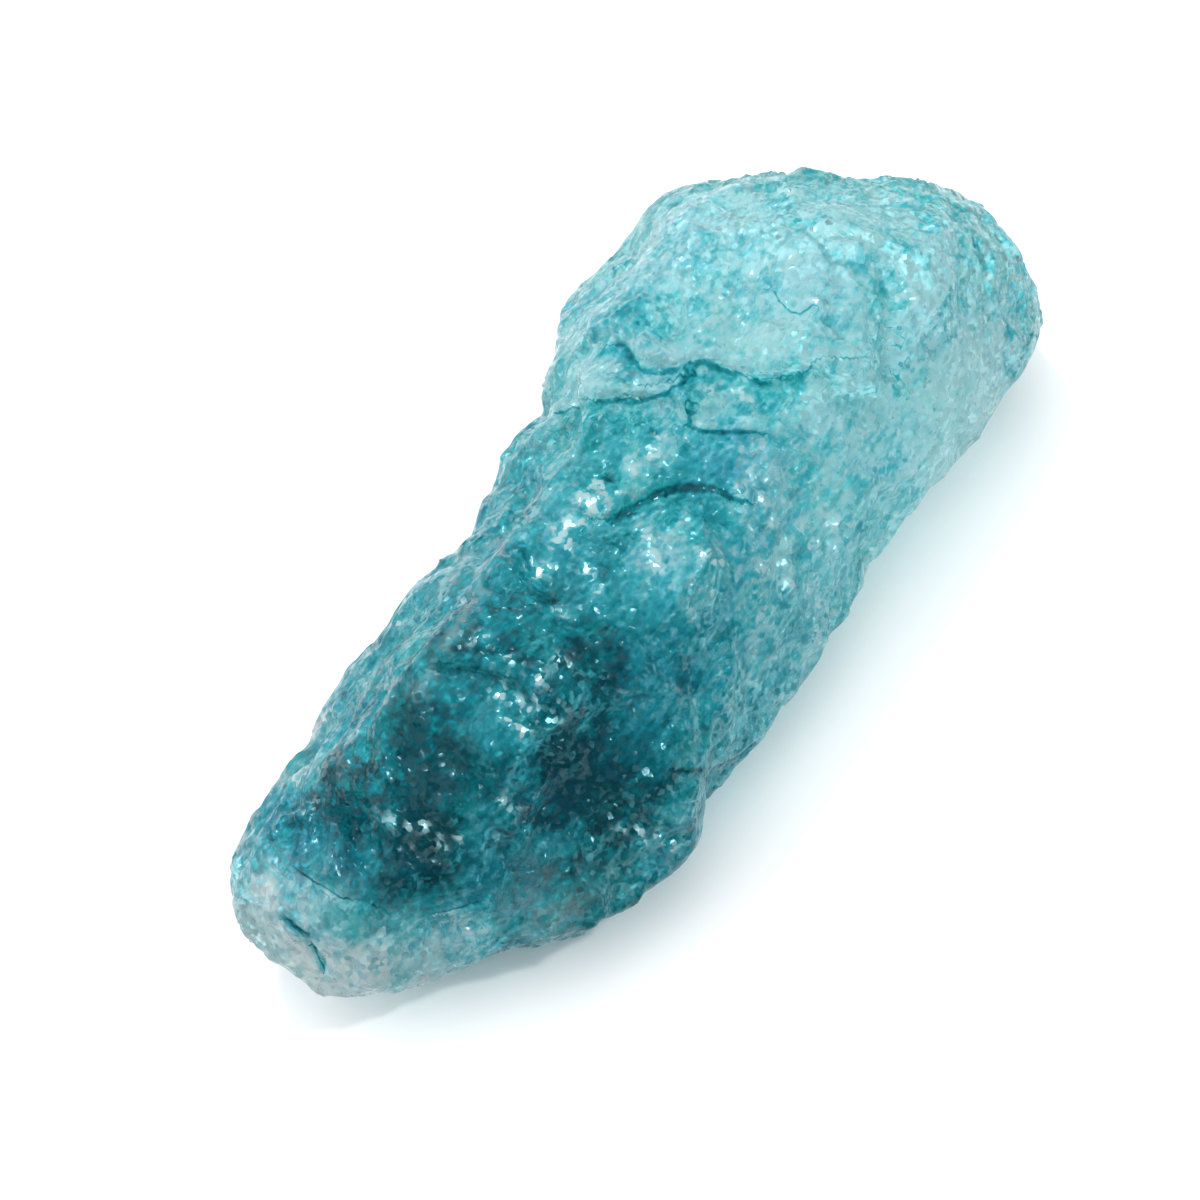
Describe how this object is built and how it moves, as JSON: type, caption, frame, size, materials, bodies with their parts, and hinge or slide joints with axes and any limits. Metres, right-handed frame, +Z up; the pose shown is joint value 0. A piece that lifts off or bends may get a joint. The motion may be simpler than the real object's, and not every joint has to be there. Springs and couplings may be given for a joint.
{
  "type": "rough aquamarine crystal",
  "caption": "Rough aquamarine: an elongated broken piece of see-through blue-green beryl with ledges, ribs and shell-shaped fractures, lying on a small flat spot.",
  "frame": {"origin": "middle of the stone's box in plan, at the height of the flat spot that it rests on", "axes": "+X along the stone towards its wide pale end, +Y towards the ribbed flank, +Z up"},
  "size_m": [0.044, 0.0186, 0.0125],
  "materials": {
    "aquamarine": "glassy fracture faces, cloudy blue-green inside"
  },
  "bodies": {
    "root": {"aquamarine_crystal": "aquamarine"}
  },
  "joints": []
}
